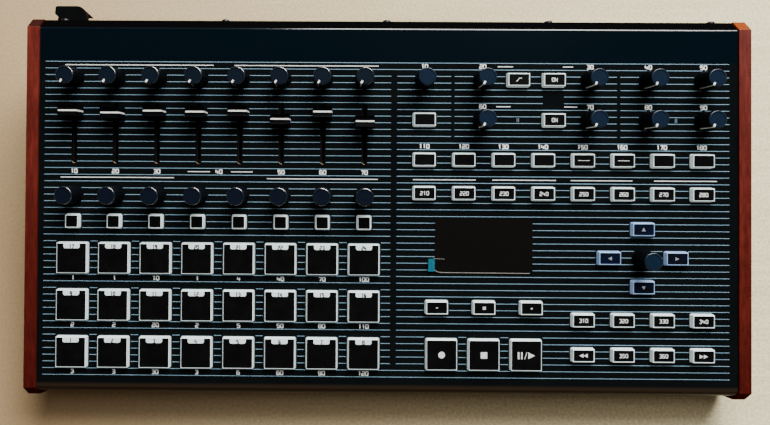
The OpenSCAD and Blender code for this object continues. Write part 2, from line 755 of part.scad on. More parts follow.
module display_window() {
    color("#07080a") on_panel([display_u, row_display]) translate([0, 0, window_bottom])
        linear_extrude(window_rise - window_bottom) square([window_w, window_l], center = true);
}

module display_module() {
    frame = [window_w + 6, window_l + 6, 3.4];
    color("#3c4043") on_panel([display_u, row_display]) {
        translate([0, 0, window_bottom - frame[2]]) difference() {
            block(frame[0], frame[1], frame[2]);
            translate([0, 0, frame[2] - 0.4]) block(window_w - 4, window_l - 4, 1);
        }
        translate([0, 0, window_bottom - frame[2] - board_t]) block(frame[0] + 4, frame[1] + 4, board_t);
        for (x = [-1, 1], y = [-1, 1])
            translate([x * (frame[0] / 2 - 1), y * (frame[1] / 2 - 1), board_top])
                cylinder(d = 4, h = window_bottom - frame[2] - board_t - board_top);
    }
}

module display_film() {
    margin = 0.4;
    color("#1d6f7a") on_panel([display_u, row_display]) translate([0, 0, window_rise]) {
        block(window_w + 2 * margin, window_l + 2 * margin, film_t);
        translate([-window_w / 2 - margin, -window_l / 2 + 1, 0]) rotate([0, 14, 0])
            translate([-film_tab_w, 0, 0]) cube([film_tab_w + 0.2, film_tab_l, film_t]);
    }
}

// ---------- boards and rear ----------

module switch_housing() {
    translate([0, 0, board_top]) difference() {
        block(switch_w, switch_w, switch_h);
        translate([0, 0, 0.2]) cylinder(d = post_d + 2 * slip, h = switch_h);
    }
}

module circuit_boards() {
    board_l = (row_count + 0.4) * row_pitch;
    color("#1f5a36") {
        difference() {
            on_panel([0, row_count / 2 - 0.2]) translate([0, 0, board_top - board_t])
                block(cover_w - 6, board_l, board_t);
            on_each(stud_spots) translate([0, 0, board_top - 3]) cylinder(d = screw_d + 2 * seat, h = 4);
        }
        difference() {
            translate([0, wall_in_y - jack_depth / 2 - 6, jack_board_z])
                block(inner_w - 20, jack_depth + 6, board_t);
            jack_studs() cylinder(d = screw_d + 2 * seat, h = 20);
        }
    }
    color("#26282b") on_each(concat(key_spots, pad_spots, select_spots)) switch_housing();
    color("#d8dde0") on_each(lamp_spots) translate([0, 0, board_top]) block(lamp_size[0], lamp_size[1], board_drop);
}

// Large socket: body on its board, threaded sleeve through the wall and a blind bore
module large_socket() {
    depth = jack_depth;
    difference() {
        union() {
            translate([-8, -jack_rise, -depth]) cube([16, jack_rise + 7, depth - sheet_t]);
            translate([0, 0, -depth + over]) cylinder(d = jack_sleeve_d, h = depth + 2.6);
        }
        translate([0, 0, -depth + 2]) cylinder(d = jack_bore, h = depth + 2);
    }
}

// Five-pin socket: round face with a ring groove for the plug's shell and five pin holes
module din_socket() {
    depth = 16;
    difference() {
        union() {
            translate([-9.5, -jack_rise - 2, -depth]) cube([19, 20, depth - sheet_t]);
            translate([0, 0, -depth + over]) cylinder(d = din_d, h = depth + 0.8);
        }
        translate([0, 0, -8]) difference() {
            cylinder(d = 13.4, h = 10);
            translate([0, 0, -1]) cylinder(d = 11.6, h = 12);
        }
        for (k = [0 : 4]) rotate([0, 0, 45 * k]) translate([4, 0, -8]) cylinder(d = 1.8, h = 10);
    }
}

module sync_socket() {
    difference() {
        union() {
            translate([-4.5, -jack_rise, -13]) cube([9, jack_rise + 5, 13 - sheet_t]);
            translate([0, 0, -12]) cylinder(d = sync_d, h = 12.8);
        }
        translate([0, 0, -11]) cylinder(d = 3.6, h = 14);
    }
}

module power_inlet() {
    difference() {
        union() {
            translate([-6, -jack_rise, -13]) cube([12, jack_rise + 6, 13 - sheet_t]);
            translate([0, 0, -12]) cylinder(d = inlet_d, h = 12.5);
        }
        translate([0, 0, -10]) difference() {
            cylinder(d = 6.4, h = 14);
            translate([0, 0, -1]) cylinder(d = 2, h = 9.5);
        }
    }
}

module usb_socket() {
    difference() {
        union() {
            translate([-usb_face[0] / 2, -jack_rise, -16])
                cube([usb_face[0], jack_rise + usb_face[1] / 2, 16 - sheet_t]);
            translate([-usb_face[0] / 2, -usb_face[1] / 2, -2]) cube([usb_face[0], usb_face[1], 2.4]);
        }
        translate([-4.3, -4, -10]) difference() {
            cube([8.6, 8, 12]);
            translate([1.5, 2.6, -1]) cube([5.6, 3, 11]);
        }
    }
}

// Rocker housing: a bezel outside the wall and a box behind it, cut out for the rocker to turn in
module rocker_housing() {
    difference() {
        union() {
            translate([-bezel[0] / 2, -bezel[1] / 2, 0]) cube(bezel);
            translate([-rocker_box[0] / 2, -rocker_box[1] / 2, -12])
                cube([rocker_box[0], rocker_box[1], 12 + over]);
            translate([-rocker_box[0] / 2, -jack_rise, -12]) cube([rocker_box[0], jack_rise, 12 - sheet_t]);
        }
        translate([-rocker_w / 2 - slip, -rocker_r - slip, -8])
            cube([rocker_w + 2 * slip, 2 * (rocker_r + slip), 12]);
    }
    for (side = [-1, 1]) translate([side * (rocker_w / 2 + slip + 0.3), 0, 0])
        rotate([0, -side * 90, 0]) cylinder(d = 2, h = 1.2);
}

module rear_sockets() {
    color("#101114") {
        for (x = jack_x) into_wall(x, jack_z) rotate([0, 0, 180]) large_socket();
        for (x = din_x) into_wall(x, jack_z + 2) rotate([0, 0, 180]) din_socket();
        for (x = sync_x) into_wall(x, jack_z) rotate([0, 0, 180]) sync_socket();
        into_wall(inlet_x, jack_z) rotate([0, 0, 180]) power_inlet();
        into_wall(usb_x, jack_z) rotate([0, 0, 180]) usb_socket();
        into_wall(rocker_x, jack_z) rotate([0, 0, 180]) rocker_housing();
    }
}

// Rocker: round about its pivot, with two shallow faces that meet over the pivot
module power_rocker() {
    color("#0c0d0f") into_wall(rocker_x, jack_z) rotate([rocker_swing / 2, 0, 0]) difference() {
        across(rocker_w) intersection() {
            circle(r = rocker_r);
            polygon([[-rocker_r, -3], [rocker_r, -3], [rocker_r, 3.4], [0, 2.2], [-rocker_r, 3.4]]);
        }
        rotate([0, 90, 0]) cylinder(d = 2.2, h = 2 * rocker_w, center = true);
    }
}

// Hook that holds a supply lead: a plate on the wall, a shelf over it and a lip turned down at the end
module cord_hook() {
    plate_t = 3;
    lip_t = 3;
    color("#0e0f11") translate([hook_x, wall_y, hook_z]) difference() {
        union() {
            translate([-hook_w / 2, 0, 0]) cube([hook_w, plate_t, hook_h]);
            translate([0, 0, hook_h - 4]) linear_extrude(4) hook_plan();
            linear_extrude(hook_h) intersection() {
                hook_plan();
                translate([-hook_w, hook_reach - lip_t]) square([2 * hook_w, lip_t]);
            }
        }
        translate([0, -1, hook_h / 2]) rotate([-90, 0, 0]) cylinder(d = screw_d + 2 * seat, h = 8);
    }
}

// Plan of the hook: an ear past the plate at the left end, and a round corner at the right
module hook_plan() {
    corner = hook_reach * 0.5;
    ear_w = 2.6;
    ear_l = 6.8;
    nick = 0.9;
    translate([-hook_w / 2, 0]) square([hook_w, hook_reach - corner]);
    translate([-hook_w / 2, hook_reach - corner - 1]) square([hook_w - corner, corner + 1]);
    translate([-hook_w / 2, hook_reach]) polygon([[1, 0], [nick - ear_w, 0], [-ear_w, -nick],
        [-ear_w, nick - ear_l], [nick - ear_w, -ear_l], [1, -ear_l]]);
    intersection() {
        translate([hook_w / 2 - corner, hook_reach - corner]) circle(r = corner);
        translate([-hook_w, 0]) square([2 * hook_w, hook_reach]);
    }
}

module fasteners() {
    nut_h = 1.8;
    color("#a9acb0") {
        lip_screws() screw(screw_d, 2 * sheet_t + 2, screw_head_d, screw_head_h);
        flange_screws() screw(screw_d, 2 * sheet_t + 2, screw_head_d, screw_head_h);
        cheek_screws() screw(screw_d, 5 + sheet_t, screw_head_d, screw_head_h);
        foot_spots() translate([0, 0, 2]) screw(screw_d, 2 + sheet_t + 2, screw_head_d, screw_head_h);
        on_each(stud_spots) translate([0, 0, board_top - board_t]) rotate([180, 0, 0])
            screw(screw_d, board_t + 4, screw_head_d, screw_head_h);
        jack_studs() translate([0, 0, jack_board_z - floor_z + board_t])
            screw(screw_d, board_t + 4, screw_head_d, screw_head_h);
        into_wall(hook_x, hook_z + hook_h / 2) translate([0, 0, 3])
            screw(screw_d, 3 + sheet_t + 2, screw_head_d, screw_head_h);
        for (x = jack_x) into_wall(x, jack_z) linear_extrude(nut_h) difference() {
            circle(d = 13, $fn = 6);
            circle(d = jack_sleeve_d + 2 * seat);
        }
    }
}

top_cover();
bottom_tray();
left_cheek();
right_cheek();
circuit_boards();
rear_sockets();
fader_bodies();
pot_bodies();
display_module();
display_window();
display_film();
rubber_feet();
fasteners();
cord_hook();
power_rocker();
pads_rear();
pads_middle();
pads_front();
select_buttons();
transport_keys();
filter_keys();
function_keys();
edit_mode_keys();
menu_keys();
arrow_keys();
pattern_keys();
for (k = [1 : column_count]) {
    knob(pan_spots[k - 1], true);
    knob(voice_spots[k - 1], false);
    fader_cap(k - 1);
}
knob(metronome_spot, false);  // metronome_knob
knob(cutoff_spot, true);  // cutoff_knob
knob(resonance_spot, true);  // resonance_knob
knob(metronome_volume_spot, true);  // metronome_volume_knob
knob(master_spot, true);  // master_knob
knob(attack_spot, true);  // attack_knob
knob(sustain_spot, true);  // sustain_knob
knob(input_spot, true);  // input_knob
knob(phones_spot, true);  // phones_knob
knob(wheel_spot, false);  // data_wheel
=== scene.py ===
import json
import math

import bmesh
import bpy
from mathutils import Euler, Matrix, Vector


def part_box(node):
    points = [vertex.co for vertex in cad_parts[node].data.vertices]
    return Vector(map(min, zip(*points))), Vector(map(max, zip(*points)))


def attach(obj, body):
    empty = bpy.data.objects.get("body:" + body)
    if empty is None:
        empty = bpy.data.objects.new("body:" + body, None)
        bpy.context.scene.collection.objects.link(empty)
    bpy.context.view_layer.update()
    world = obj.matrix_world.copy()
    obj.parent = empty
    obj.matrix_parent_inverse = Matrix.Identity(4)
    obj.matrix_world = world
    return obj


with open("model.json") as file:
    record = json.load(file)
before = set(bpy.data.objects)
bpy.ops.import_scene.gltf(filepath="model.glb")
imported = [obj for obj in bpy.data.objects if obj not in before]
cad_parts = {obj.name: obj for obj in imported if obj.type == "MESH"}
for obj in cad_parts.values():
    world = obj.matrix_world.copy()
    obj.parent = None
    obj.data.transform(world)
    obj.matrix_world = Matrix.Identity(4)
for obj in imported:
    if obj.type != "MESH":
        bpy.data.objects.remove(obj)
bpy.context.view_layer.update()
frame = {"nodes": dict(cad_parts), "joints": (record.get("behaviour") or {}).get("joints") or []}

MM = 0.001
LIFT = 0.03 * MM  # thickness of printed ink
PROUD = 0.04 * MM  # how far an inlay stands out of its knob or cap

# ---------- the panel's own frame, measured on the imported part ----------

pivots = {j["child"]: Vector(j["pos_m"]) for j in frame["joints"] if "pos_m" in j}
knobs = [name for name in pivots if "knob" in name or name == "data_wheel"]
knob_axis = Vector(next(j["axis"] for j in frame["joints"] if j["child"] == "pan_knob_1"))
normal = -knob_axis.normalized()
across = Vector((1, 0, 0))
uphill = normal.cross(across)

# Rows are counted in line spaces from the first printed line, towards the front
ROW_KNOBS = 2.5
ROW_KNOBS_2 = 8.5
ROW_FADERS = 10.8
ROW_FUNCTION = 14.5
ROW_EDIT = 19.5
ROW_VOICE = 20
ROW_SELECT = 24
ROW_DISPLAY = 27.4
ROW_WHEEL = 29
ROW_MENU = 36.5
ROWS_PATTERN = (38.25, 43.4)
PAD_ROWS = {"pads_rear": 29.5, "pads_middle": 36.5, "pads_front": 43.5}
LINE_COUNT = 48
COLUMNS = 8
PITCHES_TO_WHEEL = 5.5  # key pitches from the first key column to the data wheel

row_pitch = (pivots["pan_knob_1"] - pivots["voice_knob_1"]).length / (ROW_VOICE - ROW_KNOBS)
panel_origin = pivots["pan_knob_1"] + uphill * ROW_KNOBS * row_pitch
panel_origin.x = 0
panel = Matrix.Translation(panel_origin) @ Matrix((across, uphill, normal)).transposed().to_4x4()


def numbered(kind):
    """Names of the nodes of one kind, one for each column on the left."""
    return [f"{kind}_{k + 1}" for k in range(COLUMNS)]


left_cols = [pivots[name].x for name in numbered("pan_knob")]
wheel_u = pivots["data_wheel"].x
key_pitch = (wheel_u - pivots["metronome_knob"].x) / PITCHES_TO_WHEEL
right_cols = [pivots["metronome_knob"].x + k * key_pitch for k in range(COLUMNS)]

# Sizes of the parts that the finishes follow
PAD_W, PAD_H = 21.6 * MM, 2.6 * MM
KEY_W, KEY_L, KEY_H = 15.6 * MM, 9.5 * MM, 3 * MM
SELECT_W, SELECT_H = 9.8 * MM, 3 * MM
WINDOW = (67.3 * MM, 37.8 * MM)
INSET = 0.4 * MM  # from a cap's rim down to its black top
TAB_MIDDLE = 2.75 * MM  # from a pad's rear edge to the middle of its number
KNOB_R, KNOB_TOP_R, KNOB_H = 6.3 * MM, 6.05 * MM, 15.5 * MM
KNOB_GAP, KNOB_EDGE = 0.8 * MM, 0.8 * MM  # gap under a knob, and radius of its round edge
CAP_W, CAP_H = 12.9 * MM, 12 * MM
SLOT_W, SLOT_L = 3.3 * MM, 41.6 * MM
HEADER_L, REAR_ROUND = 23.5 * MM, 2.5 * MM
PANEL_L = 224 * MM  # from the first printed line to the front bend

# Places of controls
FILTER_U, SWITCH_U = 64.6 * MM, 89.1 * MM  # from the first key column
MENU_PITCH, TRANSPORT_PITCH = 32.4 * MM, 29 * MM
ARROW_U, ARROW_ROWS = 23 * MM, 4.3  # from the data wheel


def at(u, row, w=0.0):
    """Point in panel coordinates for a column in metres, a row in line spaces and a height."""
    return Vector((u, -row * row_pitch, w))


def knob_row(name):
    """Row of a knob's axis, in line spaces."""
    return (panel_origin - pivots[name]).dot(uphill) / row_pitch


def caps_along(columns, row, w, l):
    """Caps of one size along a row, each as (u, row, width, length)."""
    return [(u, row, w, l) for u in columns]


def place_controls():
    """The caps and the window in the panel by group, each as (u, row, width, length)."""
    low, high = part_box("display_window")
    display_u = (low.x + high.x) / 2
    menu_cols = [display_u + k * MENU_PITCH for k in (-1, 0, 1)]
    transport_cols = [display_u + k * TRANSPORT_PITCH for k in (-1, 0, 1)]
    filter_u, switch_u = right_cols[0] + FILTER_U, right_cols[0] + SWITCH_U
    pad, key, select = (PAD_W, PAD_W), (KEY_W, KEY_L), (SELECT_W, SELECT_W)
    groups = {body: caps_along(left_cols, row, *pad) for body, row in PAD_ROWS.items()}
    groups["transport_keys"] = caps_along(transport_cols, PAD_ROWS["pads_front"], *pad)
    groups["select_buttons"] = caps_along(left_cols, ROW_SELECT, *select)
    groups["function_keys"] = caps_along(right_cols, ROW_FUNCTION, *key)
    groups["edit_mode_keys"] = caps_along(right_cols, ROW_EDIT, *key)
    groups["menu_keys"] = caps_along(menu_cols, ROW_MENU, *key)
    groups["pattern_keys"] = [cap for row in ROWS_PATTERN for cap in caps_along(right_cols[4:], row, *key)]
    groups["filter_keys"] = (caps_along((filter_u, switch_u), ROW_KNOBS, *key)
                             + caps_along((switch_u, right_cols[0]), ROW_KNOBS_2, *key))
    groups["arrow_keys"] = [(wheel_u + du, ROW_WHEEL + dr, *key) for du, dr in
                            ((0, -ARROW_ROWS), (0, ARROW_ROWS), (-ARROW_U, 0), (ARROW_U, 0))]
    groups["display_window"] = [(display_u, ROW_DISPLAY, *WINDOW)]
    return groups


controls = place_controls()


# ---------- mesh helpers ----------

def finish_mesh(name, bm, material, body, matrix=panel):
    """Turns a bmesh in panel coordinates into a piece that rides on a body."""
    bmesh.ops.recalc_face_normals(bm, faces=bm.faces)
    mesh = bpy.data.meshes.new(name)
    bm.to_mesh(mesh)
    bm.free()
    mesh.transform(matrix)
    mesh.materials.append(material)
    piece = bpy.data.objects.new(name, mesh)
    bpy.context.scene.collection.objects.link(piece)
    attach(piece, body)


def add_closed_strip(bm, first, second):
    """Closed body between two outlines of as many points."""
    sides = [[bm.verts.new(point) for point in outline] for outline in (first, second)]
    bm.faces.new(reversed(sides[0]))
    bm.faces.new(sides[1])
    for k in range(len(first)):
        n = (k + 1) % len(first)
        bm.faces.new((sides[0][k], sides[0][n], sides[1][n], sides[1][k]))


def add_prism(bm, outline, low, high):
    """Closed prism over an outline of (x, y) points, from one height to another."""
    add_closed_strip(bm, [(x, y, low) for x, y in outline], [(x, y, high) for x, y in outline])


def add_slab(bm, section, half, axis):
    """Closed slab over a side view, from -half to half across it; axis turns (a, b, c) into a point."""
    add_closed_strip(bm, *[[axis(a, b, c) for a, b in section] for c in (-half, half)])


MITRE_LIMIT = 0.4  # a corner reaches out no further than a half width over this


def ribbon_outline(points, width):
    """Outline of a stroke of one width along a line of points, with mitred corners and square ends."""
    pts = [Vector(p) for p in points]
    steps = [(b - a).normalized() for a, b in zip(pts, pts[1:])]
    left, right = [], []
    for k, p in enumerate(pts):
        before = steps[max(k - 1, 0)]
        after = steps[min(k, len(steps) - 1)]
        along = (before + after).normalized()
        side = Vector((-along.y, along.x))
        reach = width / 2 / max(side.dot(Vector((-after.y, after.x))), MITRE_LIMIT)
        left.append(p + side * reach)
        right.append(p - side * reach)
    return [tuple(p) for p in left + right[::-1]]


def add_stroke(bm, points, width, low, high):
    add_prism(bm, ribbon_outline(points, width), low, high)


# ---------- materials ----------

def linear(r, g, b):
    """Linear colour from sRGB levels of 0 to 255."""
    def channel(v):
        v /= 255
        return v / 12.92 if v <= 0.04045 else ((v + 0.055) / 1.055) ** 2.4
    return (channel(r), channel(g), channel(b), 1)


class Nodes:
    """A Principled material with short calls for the nodes that vary its colour, gloss and relief.

    Noise lies mostly between 0.3 and 0.7, so most ramps over it run from about 0.3 to 0.7.
    """

    def __init__(self, name, color, rough, metallic=0.0, specular=0.5):
        self.material = bpy.data.materials.new(name)
        self.material.use_nodes = True
        self.tree = self.material.node_tree
        self.shader = self.tree.nodes["Principled BSDF"]
        self.set("Base Color", color)
        self.set("Roughness", rough)
        self.set("Metallic", metallic)
        self.set("Specular IOR Level", specular)
        self.coords = self.tree.nodes.new("ShaderNodeTexCoord").outputs["Object"]

    def set(self, socket, value):
        """Gives one of the shader's own sockets a number, a colour or what another node puts out."""
        self.feed(self.shader.inputs[socket], value)

    def feed(self, socket, value):
        if isinstance(value, bpy.types.NodeSocket):
            self.tree.links.new(value, socket)
        else:
            socket.default_value = value

    def node(self, kind, **inputs):
        """New node with its properties and sockets set by name."""
        made = self.tree.nodes.new(kind)
        for key, value in inputs.items():
            if hasattr(made, key):
                setattr(made, key, value)
            else:
                self.feed(made.inputs[key], value)
        return made

    def mapped(self, scale, vector=None):
        """Coordinates with a scale of their own along each axis."""
        return self.node("ShaderNodeMapping", Vector=vector or self.coords, Scale=scale).outputs["Vector"]

    def noise(self, scale, detail=3.0, rough=0.5, vector=None):
        """Cloudy pattern with a scale in features per metre, or per unit of mapped coordinates."""
        made = self.node("ShaderNodeTexNoise", Scale=scale, Detail=detail, Roughness=rough,
                         Vector=vector or self.coords)
        return made.outputs["Fac"]

    def ramp(self, value, low, high, out_low=0.0, out_high=1.0):
        """Straight ramp of a value between two numbers, held at both ends."""
        made = self.node("ShaderNodeMapRange", Value=value)
        for socket, number in zip(made.inputs[1:5], (low, high, out_low, out_high)):
            socket.default_value = number
        return made.outputs["Result"]

    def math(self, operation, *values):
        made = self.node("ShaderNodeMath", operation=operation)
        for socket, value in zip(made.inputs, values):
            self.feed(socket, value)
        return made.outputs[0]

    def scaled(self, value, factor, start=0.0):
        return self.math("MULTIPLY_ADD", value, factor, start)

    def between(self, value, low, high):
        """One where a value lies between two numbers, else nought."""
        above = self.math("GREATER_THAN", value, low)
        below = self.math("LESS_THAN", value, high)
        return self.math("MULTIPLY", above, below)

    def near(self, value, number, reach):
        """One where a value lies within reach of a number, else nought."""
        off = self.math("ABSOLUTE", self.math("SUBTRACT", value, number))
        return self.math("LESS_THAN", off, reach)

    def mix(self, factor, a, b):
        made = self.node("ShaderNodeMix", data_type="RGBA")
        self.feed(made.inputs["Factor"], factor)
        for socket, value in zip([s for s in made.inputs if s.type == "RGBA"], (a, b)):
            self.feed(socket, value)
        return next(s for s in made.outputs if s.type == "RGBA")

    def along(self, direction):
        """Distance from the panel's origin, in metres, of a point of a piece at rest."""
        dot = self.node("ShaderNodeVectorMath", operation="DOT_PRODUCT")
        self.feed(dot.inputs[0], self.coords)
        dot.inputs[1].default_value = direction
        return self.math("SUBTRACT", dot.outputs["Value"], panel_origin.dot(direction))

    def axis(self, letter):
        """The X, Y or Z of a point of a piece at rest."""
        return self.node("ShaderNodeSeparateXYZ", Vector=self.coords).outputs[letter]

    def bump(self, height, distance, strength):
        made = self.node("ShaderNodeBump", Strength=strength, Distance=distance, Height=height)
        self.set("Normal", made.outputs["Normal"])


def panel_paint():
    """Satin navy paint, smooth on the bend behind the panel, dull on the bevel, with the bevel painted
    darker as shade and a painted brown reflection of the table along the front.
    """
    m = Nodes("panel_paint", linear(12, 15, 17), 0.34)
    back = m.along(uphill)
    bend_half = 0.16 * REAR_ROUND
    bend = m.near(back, HEADER_L, bend_half)
    bevel = m.math("GREATER_THAN", back, HEADER_L + bend_half)
    apron = m.ramp(back, -PANEL_L + 2 * MM, -PANEL_L - 1 * MM)
    smudge = m.noise(24, detail=4, rough=0.6)
    black = m.mix(m.ramp(smudge, 0.35, 0.7), linear(11, 14, 16), linear(14, 17, 18))
    navy_header = m.mix(m.ramp(back, 0, 1.5 * MM), black, linear(4, 14, 21))
    # Painted reflection: the table's brown is painted into the paint along the front bend.
    painted_table_reflection = m.mix(apron, navy_header, linear(50, 39, 29))
    # Painted shade: the rear bevel is painted darker than the rest of the panel.
    m.set("Base Color", m.mix(bevel, painted_table_reflection, linear(5, 5, 6)))
    satin = m.ramp(smudge, 0.3, 0.7, 0.18, 0.25)
    m.set("Roughness", m.scaled(bend, -0.06, satin))
    m.set("Specular IOR Level", m.scaled(bend, 0.3, m.scaled(bevel, -0.03, 0.03)))
    m.set("Coat Weight", m.scaled(bend, 0.18))
    m.set("Coat Roughness", 0.14)
    m.set("Coat IOR", 2.2)
    m.bump(m.noise(2600, detail=2), 0.006 * MM, strength=0.3)
    return m.material


def tray_paint():
    """Black powder coat: fine orange peel, faint smudges and a slight drift of colour."""
    black = linear(14, 15, 17)
    m = Nodes("tray_paint", black, 0.55, specular=0.35)
    smudge = m.noise(24, detail=4, rough=0.6)
    m.set("Base Color", m.mix(m.ramp(smudge, 0.35, 0.7), black, linear(19, 20, 22)))
    m.set("Roughness", m.ramp(smudge, 0.3, 0.7, 0.49, 0.63))
    m.bump(m.noise(2600, detail=2), 0.02 * MM, strength=0.35)
    return m.material


def moulded(name, color, tint, rough, specular=0.4, scale=1800, grain=0.01 * MM):
    """Moulded plastic with a fine spark-eroded texture."""
    m = Nodes(name, color, rough, specular=specular)
    m.set("Base Color", m.mix(m.ramp(m.noise(180), 0.3, 0.75), color, tint))
    m.set("Roughness", m.ramp(m.noise(320), 0.3, 0.7, rough - 0.05, rough + 0.08))
    m.bump(m.noise(scale, detail=2), grain, strength=0.3)
    return m.material


def metal(name, color, rough):
    """Metal with fine scratches along the case's width."""
    m = Nodes(name, color, rough, metallic=1.0)
    scratches = m.noise(1.0, detail=3, rough=0.6, vector=m.mapped((40, 900, 900)))
    m.set("Roughness", m.ramp(scratches, 0.3, 0.7, rough - 0.08, rough + 0.12))
    m.bump(scratches, 0.004 * MM, strength=0.4)
    return m.material


def ink(name, color, tint, rough=0.55):
    """Screen-printed ink with slightly uneven cover."""
    m = Nodes(name, color, rough, specular=0.3)
    m.set("Base Color", m.mix(m.ramp(m.noise(420, detail=4, rough=0.7), 0.35, 0.7), color, tint))
    m.set("Roughness", m.ramp(m.noise(900, detail=2), 0.3, 0.7, rough - 0.08, rough + 0.08))
    return m.material


def wood():
    """Stained and varnished wood, its grain along the case's depth, duller towards the front and painted
    darker there as shade, its rear bevels painted lit on the right and shaded on the left.
    """
    m = Nodes("cheek_wood", linear(96, 34, 18), 0.38)
    waves = m.node("ShaderNodeTexNoise", Scale=9.0, Detail=3.0, Vector=m.mapped((1, 0.35, 1)))
    wave_size = (12 * MM, 12 * MM, 12 * MM)
    waved = m.node("ShaderNodeVectorMath", operation="MULTIPLY_ADD")
    for socket, value in zip(waved.inputs, (waves.outputs["Color"], wave_size, m.coords)):
        m.feed(socket, value)
    fibre = m.noise(1.0, detail=6, rough=0.65, vector=m.mapped((420, 9, 420), waved.outputs["Vector"]))
    figure = m.noise(1.0, detail=3, rough=0.5, vector=m.mapped((90, 3, 90), waved.outputs["Vector"]))
    pores = m.noise(1.0, detail=2, rough=0.5, vector=m.mapped((1500, 70, 1500)))
    base = m.mix(m.ramp(figure, 0.3, 0.7), linear(104, 30, 21), linear(130, 46, 31))
    streaks = m.mix(m.ramp(fibre, 0.35, 0.68), linear(82, 22, 17), base)
    grain = m.mix(m.ramp(pores, 0.62, 0.74, 0.0, 0.55), streaks, linear(40, 11, 8))

    back = m.along(uphill)
    # Painted shade: the wood is painted darker towards the front.
    painted_front_shade = m.mix(m.ramp(back, -PANEL_L, 0.1 * PANEL_L, 0.62, 0.0), grain, linear(32, 7, 12))
    on_right = m.math("GREATER_THAN", m.along(across), 0)
    # Painted light and shade on the rear bevels: orange as lit on the right cheek, dark maroon as shaded on
    # the left.
    lit_and_shaded_bevel = m.mix(on_right, linear(26, 3, 6), linear(120, 48, 3))
    bevel = (HEADER_L, HEADER_L + 1 * MM)
    m.set("Base Color", m.mix(m.ramp(back, *bevel, 0.0, 0.92), painted_front_shade, lit_and_shaded_bevel))
    m.set("Roughness", m.ramp(fibre, 0.3, 0.7, 0.34, 0.46))
    off_bevel = m.ramp(back, *bevel, 1.0, 0.1)
    m.set("Specular IOR Level", m.math("MULTIPLY", m.ramp(back, -PANEL_L, 0, 0.0, 0.45), off_bevel))
    m.set("Coat Weight", m.math("MULTIPLY", m.ramp(back, -0.7 * PANEL_L, 0, 0.0, 0.35), off_bevel))
    m.set("Coat Roughness", 0.22)
    m.bump(fibre, 0.05 * MM, strength=0.35)
    return m.material


def cap_plastic(name, top, white=linear(240, 254, 255), shade=linear(224, 246, 250), dark=linear(8, 8, 9)):
    """Milky keycap plastic whose pale parts are given a painted glow by emission, with a dark top sunk in a
    rim of a given height.
    """
    m = Nodes(name, white, 0.42, specular=0.45)
    sunk = m.near(m.along(normal), top - INSET, 0.06 * MM)
    black = m.mix(m.ramp(m.noise(150), 0.3, 0.7), dark, linear(12, 13, 14))
    pale = m.mix(m.ramp(m.noise(90, detail=2), 0.3, 0.7), white, shade)
    m.set("Base Color", m.mix(sunk, pale, black))
    m.set("Roughness", m.scaled(sunk, -0.1, 0.4))
    m.set("Specular IOR Level", m.scaled(sunk, -0.35, 0.45))
    # Painted glow: the pale plastic emits light of its own colour, though it is no lamp.
    m.set("Emission Color", m.mix(sunk, white, (0, 0, 0, 1)))
    m.set("Emission Strength", 0.24)
    m.bump(m.noise(2200, detail=2), 0.008 * MM, strength=0.3)
    return m.material


def knob_plastic(name, top_color, top_tint, polish):
    """Near-black knob with a dull skirt, a round edge polished by some amount and a spun navy top."""
    m = Nodes(name, linear(8, 10, 14), 0.42)
    height = m.along(normal)
    under_face, over_face = KNOB_H - 0.3 * MM, KNOB_H - 0.2 * MM  # the dished top lies between these
    on_top = m.math("GREATER_THAN", height, under_face)
    upper_edge = m.between(height, KNOB_H - 0.95 * KNOB_EDGE, KNOB_H - 0.06 * MM)
    round_edge = m.math("SUBTRACT", upper_edge, m.between(height, under_face, over_face))
    spun = m.noise(900, detail=3, rough=0.7)
    face = m.mix(m.ramp(spun, 0.3, 0.7), top_color, top_tint)
    skirt = m.mix(m.ramp(m.noise(300, detail=2), 0.3, 0.7), linear(5, 7, 11), linear(10, 12, 17))
    m.set("Base Color", m.mix(on_top, skirt, face))
    dull = m.ramp(m.noise(500, detail=2), 0.3, 0.7, 0.4, 0.5)
    m.set("Roughness", m.scaled(round_edge, -0.28 * polish, dull))
    m.set("Specular IOR Level", m.scaled(round_edge, polish, 0.06))
    m.set("Coat Weight", m.scaled(round_edge, polish))
    m.set("Coat Roughness", 0.24)
    m.set("Coat IOR", 1.9)
    m.bump(spun, 0.006 * MM, strength=0.3)
    return m.material


def window_acrylic():
    """Glossy black window that is very slightly wavy."""
    m = Nodes("window_acrylic", linear(8, 8, 9), 0.06)
    m.set("Roughness", m.ramp(m.noise(60, detail=4), 0.35, 0.75, 0.06, 0.13))
    m.bump(m.noise(14, detail=2), 0.01 * MM, strength=0.2)
    return m.material


def board_and_lamps():
    """Green board with lamps of two upright bars, whose tops fill the small windows in the panel."""
    m = Nodes("board_mask", linear(12, 52, 30), 0.4, specular=0.3)
    mask = m.mix(m.ramp(m.noise(180), 0.3, 0.75), linear(12, 52, 30), linear(16, 60, 36))
    bar_gap_half, over_board = 0.28 * MM, -1.5 * MM
    lamps = (right_cols[0] + FILTER_U, (pivots["input_knob"].x + pivots["phones_knob"].x) / 2)
    off = [m.math("ABSOLUTE", m.math("SUBTRACT", m.along(across), u)) for u in lamps]
    bars = m.math("GREATER_THAN", m.math("MINIMUM", *off), bar_gap_half)
    lens = m.mix(bars, linear(12, 14, 18), linear(96, 122, 142))
    on_lamps = m.math("GREATER_THAN", m.along(normal), over_board)
    m.set("Base Color", m.mix(on_lamps, mask, lens))
    m.bump(m.noise(1800, detail=2), 0.01 * MM, strength=0.3)
    return m.material


def film():
    """Protective film, as dark as the window under it, with a teal pull tab left of the window."""
    m = Nodes("film", linear(14, 16, 18), 0.12)
    low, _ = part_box("display_window")
    past_window = 0.42 * MM
    tab = m.math("LESS_THAN", m.axis("X"), low.x - past_window)
    teal = m.mix(m.ramp(m.noise(700), 0.3, 0.7), linear(14, 84, 104), linear(26, 108, 126))
    m.set("Base Color", m.mix(tab, linear(9, 9, 10), teal))
    m.bump(m.noise(40, detail=2), 0.02 * MM, strength=0.3)
    return m.material


# ---------- stage ----------

FLOOR_HALF = 2.5


